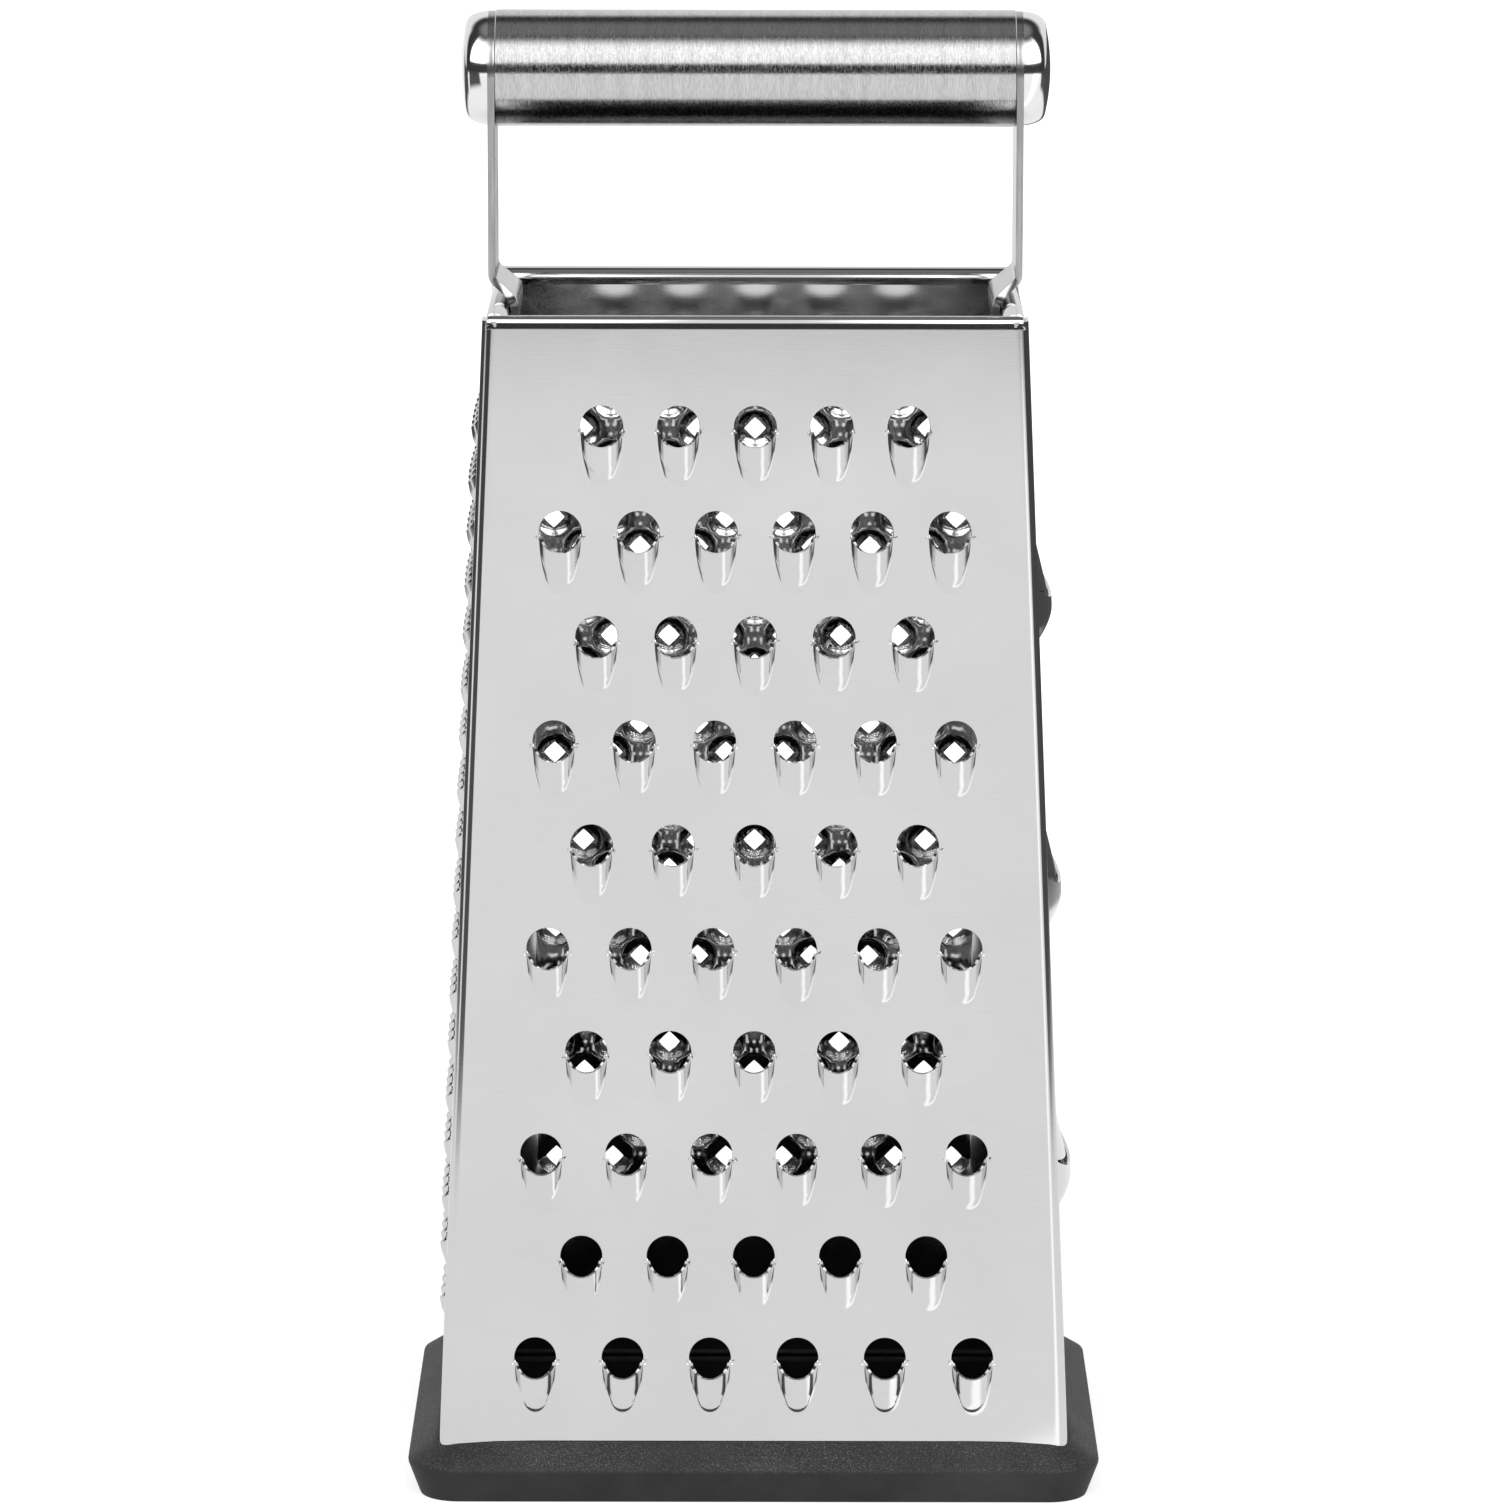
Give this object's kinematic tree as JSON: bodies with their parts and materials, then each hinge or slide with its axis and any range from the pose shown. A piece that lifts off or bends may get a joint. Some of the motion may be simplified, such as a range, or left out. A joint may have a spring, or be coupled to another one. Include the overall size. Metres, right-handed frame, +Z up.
{
  "type": "box grater",
  "caption": "Four-sided steel box grater with coarse, fine, slicing and rasp faces, a tube handle across the top and a dark non-slip foot ring.",
  "frame": {"origin": "middle of the underside of the foot ring", "axes": "+Z up along the body, -Y towards the coarse face seen in the picture, +X towards the slicing face"},
  "size_m": [0.1198, 0.086, 0.254],
  "materials": {
    "panel_steel": "brushed",
    "strap_steel": "satin",
    "tube_steel": "brushed",
    "cap_chrome": "polished",
    "ring_rubber": "matt",
    "plug_plastic": "matt",
    "retainer_plastic": "matt",
    "fixing_steel": "satin"
  },
  "bodies": {
    "root": {"front_panel": "panel_steel", "back_panel": "panel_steel", "left_panel": "panel_steel", "right_panel": "panel_steel", "base_ring": "ring_rubber", "left_strap": "strap_steel", "right_strap": "strap_steel", "handle_tube": "tube_steel", "left_tube_plug": "plug_plastic", "right_tube_plug": "plug_plastic", "left_cap_retainer": "retainer_plastic", "right_cap_retainer": "retainer_plastic", "handle_washers": "fixing_steel", "handle_screws": "fixing_steel", "left_end_cap": "cap_chrome", "right_end_cap": "cap_chrome"}
  },
  "joints": []
}
